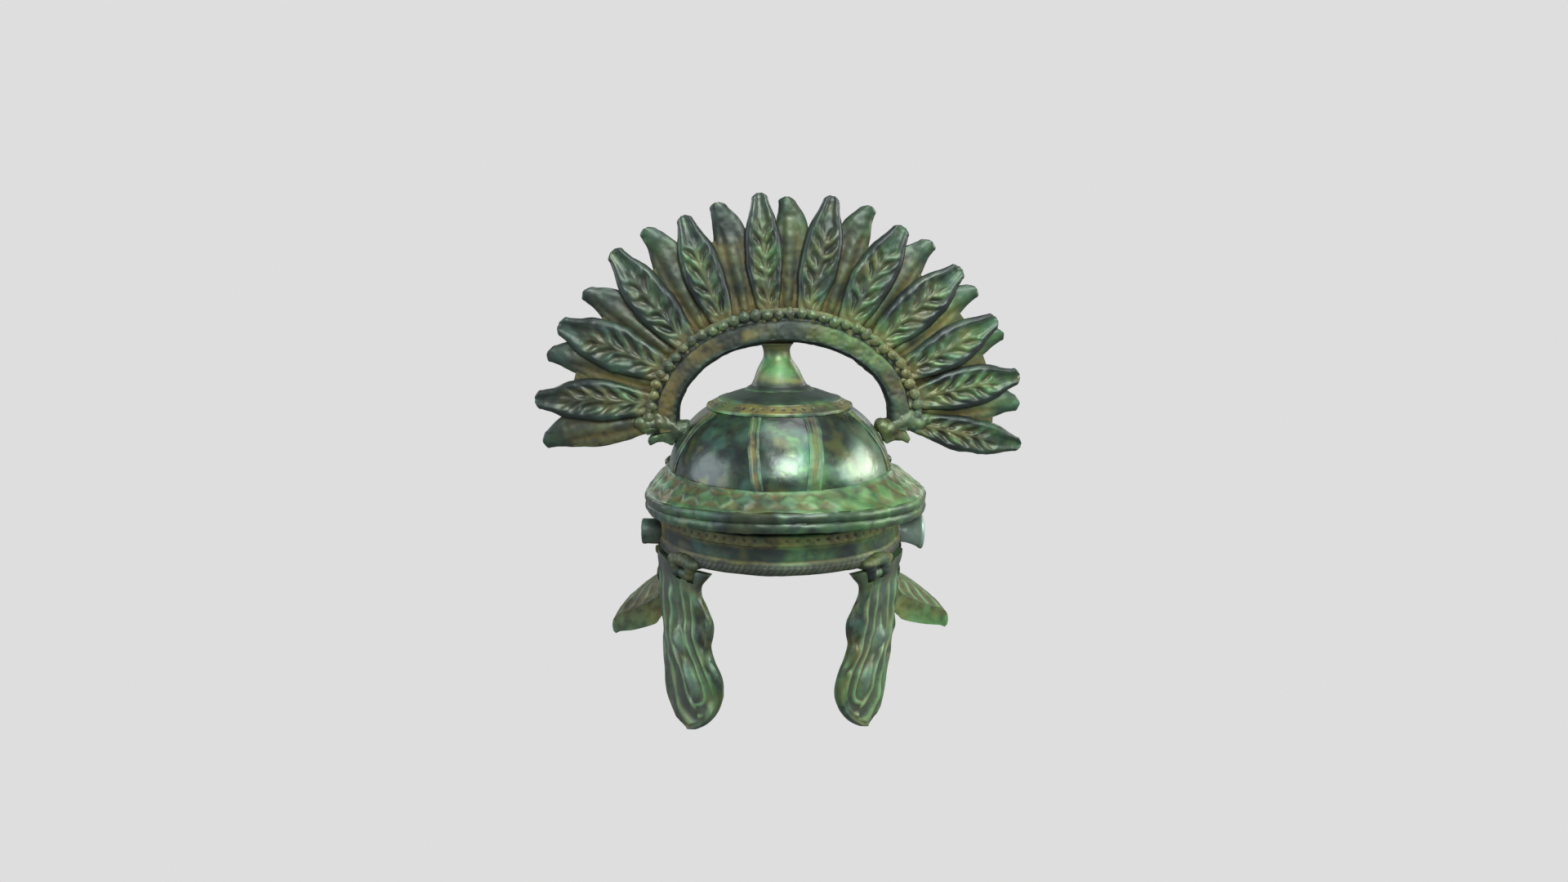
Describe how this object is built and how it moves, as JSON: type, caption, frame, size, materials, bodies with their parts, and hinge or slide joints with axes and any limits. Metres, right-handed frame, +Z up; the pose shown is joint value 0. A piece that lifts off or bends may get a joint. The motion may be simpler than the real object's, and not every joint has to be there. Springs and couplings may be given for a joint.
{
  "type": "centurion helmet",
  "caption": "Domed bronze helmet with a transverse crest of leaf-like feathers on an arch, a ring peak, hinged cheek guards, side bosses and a flared neck guard.",
  "frame": {"origin": "middle of the head opening, level with the lower edge of the brow band, where the helmet sits on a head", "axes": "+Z up, the wearer's face towards -Y, +X to the wearer's left, which is the right of the picture; the crest stands across the helmet along X"},
  "size_m": [0.4741, 0.3438, 0.4987],
  "materials": {
    "dark_bronze": "cast bronze with a dark blue-grey patina, waxed to a gloss",
    "green_bronze": "cast bronze with a green patina, darker in the hollows and worn pale on the edges",
    "brown_bronze": "cast bronze with an ochre-brown patina, green in places"
  },
  "bodies": {
    "helmet": {"bowl": "dark_bronze", "brow_band": "dark_bronze", "crest_arch": "brown_bronze", "crest_foot_left": "green_bronze", "crest_foot_right": "green_bronze", "crest_post": "green_bronze", "crown_plate": "green_bronze", "ear_guard_left": "brown_bronze", "ear_guard_right": "brown_bronze", "feather_front_01": "green_bronze", "feather_front_02": "green_bronze", "feather_front_03": "green_bronze", "feather_front_04": "green_bronze", "feather_front_05": "green_bronze", "feather_front_06": "green_bronze", "feather_front_07": "green_bronze", "feather_front_08": "green_bronze", "feather_front_09": "green_bronze", "feather_front_10": "green_bronze", "feather_front_11": "green_bronze", "feather_rear_01": "dark_bronze", "feather_rear_02": "dark_bronze", "feather_rear_03": "dark_bronze", "feather_rear_04": "dark_bronze", "feather_rear_05": "dark_bronze", "feather_rear_06": "dark_bronze", "feather_rear_07": "dark_bronze", "feather_rear_08": "dark_bronze", "feather_rear_09": "dark_bronze", "feather_rear_10": "dark_bronze", "feather_rear_11": "dark_bronze", "hinge_lug_left": "dark_bronze", "hinge_lug_right": "dark_bronze", "hinge_pin_left": "brown_bronze", "hinge_pin_right": "brown_bronze", "neck_guard": "green_bronze", "peak": "green_bronze", "peak_knob_left": "dark_bronze", "peak_knob_right": "dark_bronze", "side_boss_left": "dark_bronze", "side_boss_right": "dark_bronze", "strap_front_left": "green_bronze", "strap_front_right": "green_bronze", "strap_nape_left": "green_bronze", "strap_nape_right": "green_bronze", "strap_rear_side_left": "green_bronze", "strap_rear_side_right": "green_bronze", "strap_side_left": "green_bronze", "strap_side_right": "green_bronze"},
    "cheek_left": {"cheek_guard_left": "green_bronze"},
    "cheek_right": {"cheek_guard_right": "green_bronze"}
  },
  "joints": [
    {"name": "cheek_left_hinge", "type": "hinge", "parent": "helmet", "child": "cheek_left", "pos_m": [-0.09054, -0.07698, -0.009], "axis": [-0.6107, 0.7919, 0], "range_deg": [0, 75]},
    {"name": "cheek_right_hinge", "type": "hinge", "parent": "helmet", "child": "cheek_right", "pos_m": [0.0838, -0.08497, -0.009], "axis": [-0.6769, -0.736, 0], "range_deg": [0, 75]}
  ]
}
